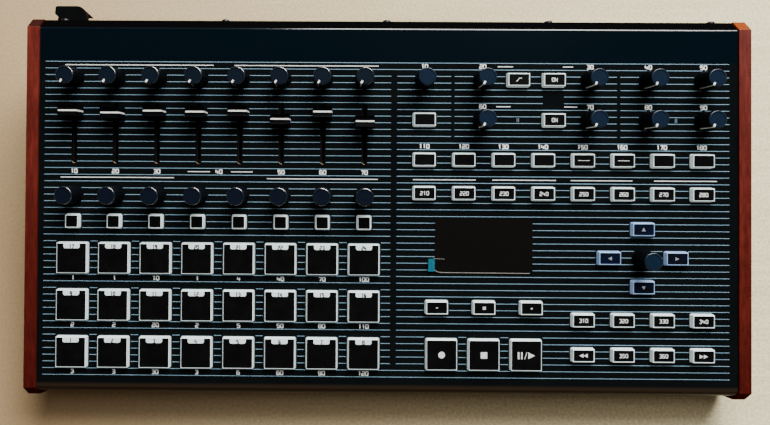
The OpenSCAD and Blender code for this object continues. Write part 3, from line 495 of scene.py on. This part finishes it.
def table_top():
    """Pale table top with faint streaks and specks, with painted light falloff: it turns darker and browner
    to the left, most steeply in front.
    """
    m = Nodes("table_top", linear(208, 192, 166), 0.8, specular=0.1)
    spread = m.scaled(m.axis("Y"), -1.2, 1.0)
    # Painted light falloff across the floor, stronger towards the front.
    painted_falloff = m.ramp(m.math("MULTIPLY", m.axis("X"), spread), -0.3, 0.34)
    plain = m.mix(painted_falloff, linear(180, 152, 114), linear(253, 246, 203))
    streaks = m.noise(1.0, detail=4, rough=0.6, vector=m.mapped((9, 160, 9)))
    streaked = m.mix(m.ramp(streaks, 0.3, 0.75, 0.0, 0.3), plain, linear(186, 160, 122))
    specks = m.ramp(m.noise(480, detail=2, rough=0.6), 0.35, 0.68, 0.0, 0.4)
    m.set("Base Color", m.mix(specks, streaked, linear(150, 128, 98)))
    m.bump(m.noise(700), 0.05 * MM, strength=0.2)
    return m.material


def add_area_light(name, location, size, power, color):
    """Rectangular light aimed at the origin, under the middle of the case."""
    lamp = bpy.data.lights.new(name, "AREA")
    lamp.shape = "RECTANGLE"
    lamp.size, lamp.size_y = size
    lamp.energy = power
    lamp.color = color
    holder = bpy.data.objects.new(name, lamp)
    holder.location = location
    holder.rotation_euler = (-Vector(location)).to_track_quat("-Z", "Y").to_euler()
    bpy.context.scene.collection.objects.link(holder)


def build_stage():
    """Table top, a wide light behind the case's right, a weaker bounce from above and a dim warm room."""
    corners = [(x * FLOOR_HALF, y * FLOOR_HALF, 0) for x, y in ((-1, -1), (1, -1), (1, 1), (-1, 1))]
    mesh = bpy.data.meshes.new("floor")
    mesh.from_pydata(corners, [], [range(len(corners))])
    mesh.materials.append(table_top())
    floor = bpy.data.objects.new("floor", mesh)
    bpy.context.scene.collection.objects.link(floor)

    add_area_light("window_light", location=(0.5, 1.4, 1.12), size=(1.5, 1.0), power=105,
                   color=(1, 0.985, 0.95))
    add_area_light("ceiling_bounce", location=(0.25, 0.8, 1.8), size=(1.4, 0.9), power=9,
                   color=(1, 0.96, 0.92))

    world = bpy.data.worlds.new("room")
    bpy.context.scene.world = world
    world.use_nodes = True
    room = world.node_tree.nodes["Background"]
    room.inputs["Color"].default_value = (1, 0.83, 0.66, 1)
    room.inputs["Strength"].default_value = 0.1


# The camera stands over the panel, with the photograph's crop given by the shift
CAMERA_U, CAMERA_V, CAMERA_HEIGHT = -26.7 * MM, -70.9 * MM, 388.5 * MM
CAMERA_TURN = (0.545, 0.372, 0.347)  # degrees about the panel's three axes
FOCUS_PX = 560.8
AXIS_PX = (344.8, 159.5)
IMAGE_PX = (770, 425)
SENSOR = 36
CLIP_START = 0.01


def build_camera():
    lens = bpy.data.cameras.new("camera")
    lens.sensor_width = SENSOR
    lens.lens = FOCUS_PX * SENSOR / IMAGE_PX[0]
    lens.shift_x = (IMAGE_PX[0] / 2 - AXIS_PX[0]) / IMAGE_PX[0]
    lens.shift_y = (AXIS_PX[1] - IMAGE_PX[1] / 2) / IMAGE_PX[0]
    lens.clip_start = CLIP_START
    camera = bpy.data.objects.new("camera", lens)
    turn = Euler([math.radians(a) for a in CAMERA_TURN]).to_matrix().to_4x4()
    camera.matrix_world = panel @ Matrix.Translation((CAMERA_U, CAMERA_V, CAMERA_HEIGHT)) @ turn
    bpy.context.scene.collection.objects.link(camera)
    bpy.context.scene.camera = camera


# ---------- printed lines ----------

LINE_LEFT, LINE_RIGHT = -238 * MM, 236 * MM
LINE_T = 0.37 * MM
SHORTEST_LINE = 0.5 * MM
KEY_MARGIN, KEY_MARGIN_FRONT = 1.0 * MM, 0.3 * MM  # bare rim around a cap, narrower in front
KNOB_MARGIN = 0.7 * MM
SLOT_MARGIN = 0.4 * MM
# Bare upright strips and one bare patch, as (u, width, first line, last line)
BARE_STRIPS = (
    (4.7 * MM, 4.2 * MM, 2, 45),
    (45.4 * MM, 2.4 * MM, 2, 11),
    (159.8 * MM, 2.4 * MM, 2, 11),
    (114.8 * MM, 14.8 * MM, 5, 6),
)


def blocked(line):
    """Stretches of one printed line that the controls interrupt, as (left, right) pairs."""
    gaps = []
    for group, caps in controls.items():
        margin = 0 if group == "display_window" else KEY_MARGIN
        for u, row, w, l in caps:
            behind_cap = (row - line) * row_pitch
            if -l / 2 - KEY_MARGIN_FRONT < behind_cap < l / 2 + KEY_MARGIN:
                gaps.append((u - w / 2 - margin, u + w / 2 + margin))
    reach = KNOB_R + KNOB_MARGIN
    for name in knobs:
        off = abs(knob_row(name) - line) * row_pitch
        if off < reach:
            half = math.sqrt(reach ** 2 - off ** 2)
            gaps.append((pivots[name].x - half, pivots[name].x + half))
    if abs(line - ROW_FADERS) * row_pitch < SLOT_L / 2:
        half = SLOT_W / 2 + SLOT_MARGIN
        gaps += [(u - half, u + half) for u in left_cols]
    for u, w, first, last in BARE_STRIPS:
        if first <= line <= last:
            gaps.append((u - w / 2, u + w / 2))
    return sorted(gaps)


def build_lines(material):
    bm = bmesh.new()
    for line in range(LINE_COUNT):
        left = LINE_LEFT
        for gap_left, gap_right in blocked(line) + [(LINE_RIGHT, LINE_RIGHT)]:
            if gap_left - left > SHORTEST_LINE:
                ends = [at(left, line).xy, at(min(gap_left, LINE_RIGHT), line).xy]
                add_stroke(bm, ends, LINE_T, 0, LIFT)
            left = max(left, gap_right)
    finish_mesh("printed_lines", bm, material, "case")


# ---------- figures and signs, drawn as strokes ----------

# Points on a grid 2 wide and 4 high, from the lower left
ROUND_BOX = [(0.3, 0), (1.7, 0), (2, 0.4), (2, 3.6), (1.7, 4), (0.3, 4), (0, 3.6), (0, 0.4), (0.3, 0)]
FIGURES = {
    "0": [ROUND_BOX],
    "1": [[(0.4, 3.3), (1.1, 4), (1.1, 0)]],
    "2": [[(0, 4), (1.7, 4), (2, 3.6), (2, 2.4), (1.7, 2), (0.3, 2), (0, 1.6), (0, 0), (2, 0)]],
    "3": [[(0, 4), (1.7, 4), (2, 3.6), (2, 2.4), (1.6, 2), (2, 1.6), (2, 0.4), (1.7, 0), (0, 0)],
          [(0.6, 2), (1.6, 2)]],
    "4": [[(0, 4), (0, 1.6), (2, 1.6)], [(1.5, 3), (1.5, 0)]],
    "5": [[(2, 4), (0, 4), (0, 2.2), (1.7, 2.2), (2, 1.8), (2, 0.4), (1.7, 0), (0, 0)]],
    "6": [[(1.9, 4), (0.3, 4), (0, 3.6), (0, 0.4), (0.3, 0), (1.7, 0), (2, 0.4), (2, 1.9), (1.7, 2.2),
           (0, 2.2)]],
    "7": [[(0, 4), (2, 4), (2, 3.4), (0.9, 0)]],
    "8": [ROUND_BOX, [(0, 2.1), (2, 2.1)]],
    "9": [[(0.1, 0), (1.7, 0), (2, 0.4), (2, 3.6), (1.7, 4), (0.3, 4), (0, 3.6), (0, 2.1), (0.3, 1.8),
           (2, 1.8)]],
    "O": [ROUND_BOX],
    "N": [[(0, 0), (0, 4), (2, 0), (2, 4)]],
    "+": [[(0, 2), (2, 2)], [(1, 3), (1, 1)]],
    "-": [[(0, 2), (2, 2)]],
    "=": [[(-0.6, 3.2), (2.6, 3.2)], [(-0.6, 2), (2.6, 2)], [(-0.6, 0.8), (2.6, 0.8)]],
    "~": [[(-1.7, 0.3), (-0.6, 0.3), (1.2, 3.7), (3.6, 3.7)]],
}
CELLS_HIGH, HALF_CELLS_WIDE, CELLS_APART = 4, 1, 1.1  # a figure's size and gap on that grid
LAYER_LIFT = 0.3  # each further stroke of a figure stands out by this part of a lift more

# Height, stroke and sideways stretch of each size of text
CAPTION_TEXT = (2.6 * MM, 0.72 * MM, 1.35)
PAD_TEXT = (2.5 * MM, 0.62 * MM, 0.9)
KEY_TEXT = (2.4 * MM, 0.45 * MM, 1.2)


def add_text(bm, text, u, row, w, size):
    """Figures centred on a column and row at a height w, with their feet towards the front."""
    height, stroke, stretch = size
    cell = height / CELLS_HIGH
    step = (2 * HALF_CELLS_WIDE * stretch + CELLS_APART) * cell
    start = u - step * (len(text) - 1) / 2
    for k, figure in enumerate(text):
        centre = at(start + k * step, row)
        for layer, points in enumerate(FIGURES[figure]):
            line = [centre.xy + cell * Vector(((x - HALF_CELLS_WIDE) * stretch, y - CELLS_HIGH / 2))
                    for x, y in points]
            add_stroke(bm, line, stroke, w, w + LIFT * (1 + LAYER_LIFT * layer))


CAPTION_ROWS = (0.5, 6.5)  # over the two rows of knobs
FUNCTION_CAPTION_ROW, VOICE_CAPTION_ROW = 12.5, 16.5
PAD_CAPTION_ROWS = 3  # from a pad's middle to its caption
# Left end, right end and row of each bracket line, with the ends in millimetres
BRACKETS = (
    (-224.2, -120.7, 0.5), (-106.2, -6.2, 0.5), (76.3, 86.8, 0.5), (121.3, 128.3, 0.5),
    (75.3, 85.3, 6.5), (122.3, 131.3, 6.5),
    (-138.2, -122.7, 16.5), (-108.2, -93, 16.5),
    (-226.7, -147.7, 17.43), (-83.1, -6.3, 17.5), (18, 61.3, 17.5), (72.8, 116.8, 17.5),
    (126.9, 169.3, 17.5), (184.3, 227.5, 17.5),
)
BRACKET_T = 0.55 * MM
PAD_CAPTIONS = {
    "pads_rear": ("1", "1", "10", "1", "4", "40", "70", "100"),
    "pads_middle": ("2", "2", "20", "2", "5", "50", "80", "110"),
    "pads_front": ("3", "3", "30", "3", "6", "60", "90", "120"),
}
FIRST_PAD = {"pads_rear": 17, "pads_middle": 9, "pads_front": 1}
UPPER_KNOBS = ("metronome_knob", "cutoff_knob", "resonance_knob", "metronome_volume_knob", "master_knob")
LOWER_KNOBS = ("attack_knob", "sustain_knob", "input_knob", "phones_knob")


def in_tens(first, columns, row):
    """Numbers in steps of ten along a row, as (text, u, row)."""
    return [(str(first + 10 * k), u, row) for k, u in enumerate(columns)]


def build_captions(material):
    """Bracket lines over groups of controls, and plain numbers by the controls."""
    bm = bmesh.new()
    for left, right, row in BRACKETS:
        add_stroke(bm, [at(left * MM, row).xy, at(right * MM, row).xy], BRACKET_T, 0, LIFT)
    shared_col = (left_cols[3] + left_cols[4]) / 2  # two columns under one bracket
    numbers = in_tens(10, left_cols[:3] + [shared_col] + left_cols[5:], VOICE_CAPTION_ROW)
    numbers += in_tens(110, right_cols, FUNCTION_CAPTION_ROW)
    for body, texts in PAD_CAPTIONS.items():
        numbers += [(text, u, PAD_ROWS[body] + PAD_CAPTION_ROWS) for text, u in zip(texts, left_cols)]
    numbers += in_tens(10, [pivots[name].x for name in UPPER_KNOBS], CAPTION_ROWS[0])
    numbers += in_tens(60, [pivots[name].x for name in LOWER_KNOBS], CAPTION_ROWS[1])
    for text, u, row in numbers:
        add_text(bm, text, u, row, 0, CAPTION_TEXT)
    finish_mesh("panel_numbers", bm, material, "case")


def build_pad_numbers(material):
    for body, first in FIRST_PAD.items():
        bm = bmesh.new()
        row = PAD_ROWS[body] - (PAD_W / 2 - TAB_MIDDLE) / row_pitch
        for k, u in enumerate(left_cols):
            add_text(bm, str(first + k), u, row, PAD_H, PAD_TEXT)
        finish_mesh(f"{body}_numbers", bm, material, body)


def add_polygon(bm, u, row, points, size, w):
    """Printed shape centred on a column and row at a height w."""
    centre = at(u, row)
    add_prism(bm, [(centre.x + x * size, centre.y + y * size) for x, y in points], w, w + LIFT)


TRIANGLE_RIGHT = [(-0.5, -0.5), (0.5, 0), (-0.5, 0.5)]
TRIANGLE_LEFT = [(0.5, 0.5), (-0.5, 0), (0.5, -0.5)]
TRIANGLE_UP = [(-0.55, -0.4), (0.55, -0.4), (0, 0.5)]
TRIANGLE_DOWN = [(-0.55, 0.4), (0, -0.5), (0.55, 0.4)]
SQUARE = [(-0.5, -0.5), (0.5, -0.5), (0.5, 0.5), (-0.5, 0.5)]
DISC_SIDES = 24
DISC = [(0.5 * math.cos(math.tau * k / DISC_SIDES), 0.5 * math.sin(math.tau * k / DISC_SIDES))
        for k in range(DISC_SIDES)]
KEY_TOP, PAD_TOP = KEY_H - INSET, PAD_H - INSET


def finish_signs(bm, material, body):
    finish_mesh(f"{body}_signs", bm, material, body)


def add_key_text(bm, texts, caps):
    for text, (u, row, _, _) in zip(texts, caps):
        add_text(bm, text, u, row, KEY_TOP, KEY_TEXT)


def build_key_numbers(material):
    """Plain numbers and signs on the edit, menu and filter keys."""
    texts = {
        "edit_mode_keys": [str(number) for number in range(210, 290, 10)],
        "menu_keys": ["-", "=", "+"],
        "filter_keys": ["~", "ON", "ON"],
    }
    for body, labels in texts.items():
        bm = bmesh.new()
        add_key_text(bm, labels, controls[body])
        finish_signs(bm, material, body)


def build_pattern_signs(material):
    """Numbers on the pattern keys, and double triangles on the outer two of the front row."""
    size, off = 2.8 * MM, 1.45 * MM
    keys = controls["pattern_keys"]
    rewind, forward = keys[4], keys[7]
    bm = bmesh.new()
    add_key_text(bm, ("310", "320", "330", "340", "350", "360"), keys[:4] + keys[5:7])
    for shape, (u, row, _, _) in ((TRIANGLE_LEFT, rewind), (TRIANGLE_RIGHT, forward)):
        for side in (-1, 1):
            add_polygon(bm, u + side * off, row, shape, size, KEY_TOP)
    finish_signs(bm, material, "pattern_keys")


def build_arrow_signs(material):
    size = 2.6 * MM
    bm = bmesh.new()
    shapes = (TRIANGLE_UP, TRIANGLE_DOWN, TRIANGLE_LEFT, TRIANGLE_RIGHT)
    for shape, (u, row, _, _) in zip(shapes, controls["arrow_keys"]):
        add_polygon(bm, u, row, shape, size, KEY_TOP)
    finish_signs(bm, material, "arrow_keys")


def build_function_signs(material):
    """One dash on each of the fifth and sixth function keys."""
    half, stroke = 4 * MM, 0.35 * MM
    bm = bmesh.new()
    for u, row, _, _ in controls["function_keys"][4:6]:
        add_stroke(bm, [at(u - half, row).xy, at(u + half, row).xy], stroke, KEY_TOP, KEY_TOP + LIFT)
    finish_signs(bm, material, "function_keys")


def build_transport_signs(material):
    """A disc, a square, and two bars with a slash and a triangle, on the three large keys."""
    disc, square, triangle = 4.6 * MM, 4.4 * MM, 4.6 * MM
    half = 2.4 * MM  # half the height of the bars and the slash
    bars_u, bar_off, bar_w = -4.2 * MM, 1.1 * MM, 1.1 * MM
    slash_u, slash_lean, slash_w = -0.4 * MM, 0.8 * MM, 0.45 * MM
    triangle_u = 3.6 * MM
    record, stop, play = [cap[:2] for cap in controls["transport_keys"]]
    bm = bmesh.new()
    add_polygon(bm, *record, DISC, disc, PAD_TOP)
    add_polygon(bm, *stop, SQUARE, square, PAD_TOP)
    centre = at(*play).xy
    for off, lean, width in ((bars_u - bar_off, 0, bar_w), (bars_u + bar_off, 0, bar_w),
                             (slash_u, slash_lean, slash_w)):
        middle = centre + Vector((off, 0))
        rise = Vector((lean, half))
        add_stroke(bm, [middle - rise, middle + rise], width, PAD_TOP, PAD_TOP + LIFT)
    add_polygon(bm, play[0] + triangle_u, play[1], TRIANGLE_RIGHT, triangle, PAD_TOP)
    finish_signs(bm, material, "transport_keys")


# ---------- inlays ----------

POINTER_W, POINTER_SKIRT_W = 1.28 * MM, 0.75 * MM
POINTER_TURN = math.radians(30)  # from straight ahead, at rest
POINTER_START = 3.6 * MM  # from the knob's axis
NO_POINTER = ("voice", "metronome_knob", "data_wheel")  # how the names of plain knobs start
EDGE_STEPS = 5


def pointer_sections():
    """Side views of a knob's pointer, as (radius, height): over the round edge, and down the skirt."""
    ring, low = KNOB_TOP_R - KNOB_EDGE, KNOB_H - KNOB_EDGE
    reach = KNOB_EDGE + PROUD
    dish = KNOB_H - 0.18 * MM  # the inlay's height in the knob's dished top
    thick, rim_w, rim_lift = 0.4 * MM, 0.2 * MM, 0.03 * MM
    top = [(POINTER_START, dish), (ring - rim_w, dish), (ring, KNOB_H + rim_lift)]
    for k in range(1, EDGE_STEPS + 1):
        a = math.pi / 2 * k / EDGE_STEPS
        top.append((ring + reach * math.sin(a), low + reach * math.cos(a)))
    top += [(ring, low), (POINTER_START, dish - thick)]

    outside, inside = KNOB_R + PROUD, KNOB_R - 0.34 * MM
    foot, bend = KNOB_GAP + 0.1 * MM, KNOB_GAP + 2 * MM
    skirt = [(ring + reach, low), (outside, bend), (outside, foot), (inside, foot), (ring + thick, low)]
    return top, skirt


def build_pointers(material):
    sections = list(zip(pointer_sections(), (POINTER_W, POINTER_SKIRT_W)))
    for name in knobs:
        if name.startswith(NO_POINTER):
            continue
        bm = bmesh.new()
        for section, width in sections:
            add_slab(bm, section, width / 2, lambda r, z, x: (x, -r, z))
        turn = Matrix.Rotation(-POINTER_TURN, 4, "Z")
        place = panel @ Matrix.Translation(at(pivots[name].x, knob_row(name))) @ turn
        finish_mesh(f"{name}_pointer", bm, material, name, place)


def cap_centre_v(name):
    """Distance along the panel of a fader cap's middle, measured on its own mesh above the lever."""
    lever_top = 2 * MM
    to_panel = panel.inverted()
    points = [to_panel @ v.co for v in frame["nodes"][name].data.vertices]
    vs = [p.y for p in points if p.z > lever_top]
    return (min(vs) + max(vs)) / 2


def build_fader_lines(material):
    """White line across each fader cap, from side to side over the finger hollow."""
    line_half, thick, chamfer = 0.52 * MM, 0.3 * MM, 0.5 * MM
    foot, top = KNOB_GAP + 0.2 * MM, CAP_H - 0.96 * MM
    outer, inner = CAP_W / 2 + PROUD, CAP_W / 2 - thick
    left = [(-outer, foot), (-inner, foot), (-inner, top - thick)]
    right = [(inner, top - thick), (inner, foot), (outer, foot)]
    over = [(outer, top - chamfer), (outer - chamfer, top),
            (-outer + chamfer, top), (-outer, top - chamfer)]
    for name, u in zip(numbered("fader_cap"), left_cols):
        bm = bmesh.new()
        add_slab(bm, left + right + over, line_half, lambda x, z, y: (x, y, z))
        place = panel @ Matrix.Translation((u, cap_centre_v(name), 0))
        finish_mesh(f"{name}_line", bm, material, name, place)


def build_film_edge(material):
    """Painted highlights: pale strokes where light catches the film's lifted front edge and the crease
    behind its pull tab.
    """
    low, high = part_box("display_window")
    left, right = low.x - 0.3 * MM, high.x - 1.5 * MM
    front = ROW_DISPLAY + WINDOW[1] / 2 / row_pitch
    top, thick = 0.28 * MM, 0.1 * MM
    edge_glint_w, crease_w = 0.3 * MM, 0.18 * MM
    curled_corner = [(left, front - 0.55), (left + 1.2 * MM, front - 0.28), (left + 4 * MM, front - 0.14)]
    edge_glint = curled_corner + [(right, front - 0.1)]
    crease = [(left - 1.2 * MM, front - 2.35), (left, front - 2.2), (left + 6.5 * MM, front - 2.15)]
    bm = bmesh.new()
    for points, width in ((edge_glint, edge_glint_w), (crease, crease_w)):
        add_stroke(bm, [at(u, row).xy for u, row in points], width, top, top + thick)
    finish_mesh("film_glint_strokes", bm, material, "case")


def build_slot_glints(material):
    """Painted highlight: pale strokes where the bare cut edge of the sheet catches the light at the front
    end of each fader slot.
    """
    radius = SLOT_W / 2 - 0.12 * MM
    width, low, high = 0.26 * MM, -0.5 * MM, -0.3 * MM
    angles = [math.radians(a) for a in range(195, 286, 15)]
    arc = [radius * Vector((math.cos(a), math.sin(a))) for a in angles]
    bm = bmesh.new()
    for u in left_cols:
        end = at(u, ROW_FADERS).xy - Vector((0, (SLOT_L - SLOT_W) / 2))
        add_stroke(bm, [end + point for point in arc], width, low, high)
    finish_mesh("slot_glints", bm, material, "case")


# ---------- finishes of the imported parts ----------

def dress(names, material):
    for name in names:
        for slot in frame["nodes"][name].material_slots:
            slot.material = material


def dress_caps():
    keys = ["filter_keys", "function_keys", "edit_mode_keys", "menu_keys", "pattern_keys"]
    blue = (linear(158, 190, 232), linear(124, 160, 214), linear(9, 18, 44))
    dress(keys, cap_plastic("key_plastic", KEY_H))
    dress(["arrow_keys"], cap_plastic("arrow_plastic", KEY_H, *blue))
    dress([*PAD_ROWS, "transport_keys"], cap_plastic("pad_plastic", PAD_H))
    dress(["select_buttons"], cap_plastic("select_plastic", SELECT_H))


def dress_knobs():
    # Material, nodes, two colours of the top, and polish of the round edge
    knob_kinds = (
        ("pot_plastic", UPPER_KNOBS + LOWER_KNOBS, linear(17, 33, 52), linear(12, 25, 42), 0.2),
        ("pan_plastic", numbered("pan_knob"), linear(14, 25, 38), linear(9, 18, 30), 1.0),
        ("voice_plastic", numbered("voice_knob"), linear(14, 21, 35), linear(10, 16, 29), 1.0),
        ("wheel_plastic", ["data_wheel"], linear(17, 35, 54), linear(12, 27, 44), 0.3),
    )
    for name, nodes, color, tint, polish in knob_kinds:
        dress(nodes, knob_plastic(name, color, tint, polish))
    dress(numbered("fader_cap"),
          moulded("fader_plastic", linear(6, 7, 9), linear(9, 10, 13), 0.4, specular=0.03))


def dress_case():
    dress(["top_cover"], panel_paint())
    dress(["bottom_tray"], tray_paint())
    dress(["left_cheek", "right_cheek"], wood())
    dress(["circuit_boards"], board_and_lamps())
    dress(["rear_sockets", "power_rocker"],
          moulded("socket_plastic", linear(7, 7, 8), linear(12, 12, 13), 0.42, specular=0.2))
    dress(["cord_hook"], moulded("hook_plastic", linear(6, 7, 8), linear(10, 11, 12), 0.5, specular=0.02))
    dress(["fader_bodies"],
          moulded("fader_seal", linear(13, 12, 11), linear(20, 18, 16), 0.6, specular=0.1))
    dress(["pot_bodies", "display_module"], metal("stamped_steel", linear(150, 152, 156), 0.35))
    dress(["display_window"], window_acrylic())
    dress(["display_film"], film())
    dress(["rubber_feet"], moulded("foot_rubber", linear(20, 20, 21), linear(28, 28, 29), 0.75,
                                   specular=0.3, scale=1200, grain=0.03 * MM))
    dress(["fasteners"], metal("blackened_steel", linear(66, 66, 68), 0.4))


build_stage()
build_camera()
dress_case()
dress_caps()
dress_knobs()
line_ink = ink("line_ink", linear(140, 176, 198), linear(116, 154, 180))
white_ink = ink("white_ink", linear(244, 247, 247), linear(228, 234, 236))
grey_ink = ink("grey_ink", linear(12, 14, 17), linear(20, 23, 26))
arrow_ink = ink("arrow_ink", linear(150, 158, 172), linear(132, 142, 158))
inlay_white = moulded("inlay_white", linear(252, 252, 248), linear(240, 240, 234), 0.4)
# Pale grey ink for the film's painted highlights.
film_glint_ink = ink("film_glint_grey", linear(178, 168, 164), linear(150, 142, 140), 0.3)
# Pale ink for the painted highlights at the fader slots' ends.
slot_glint_ink = ink("slot_glint_ink", linear(206, 176, 140), linear(160, 132, 100), 0.35)
build_lines(line_ink)
build_captions(white_ink)
build_pad_numbers(grey_ink)
build_key_numbers(white_ink)
build_pattern_signs(white_ink)
build_arrow_signs(arrow_ink)
build_function_signs(white_ink)
build_transport_signs(white_ink)
build_pointers(inlay_white)
build_fader_lines(inlay_white)
build_film_edge(film_glint_ink)
build_slot_glints(slot_glint_ink)
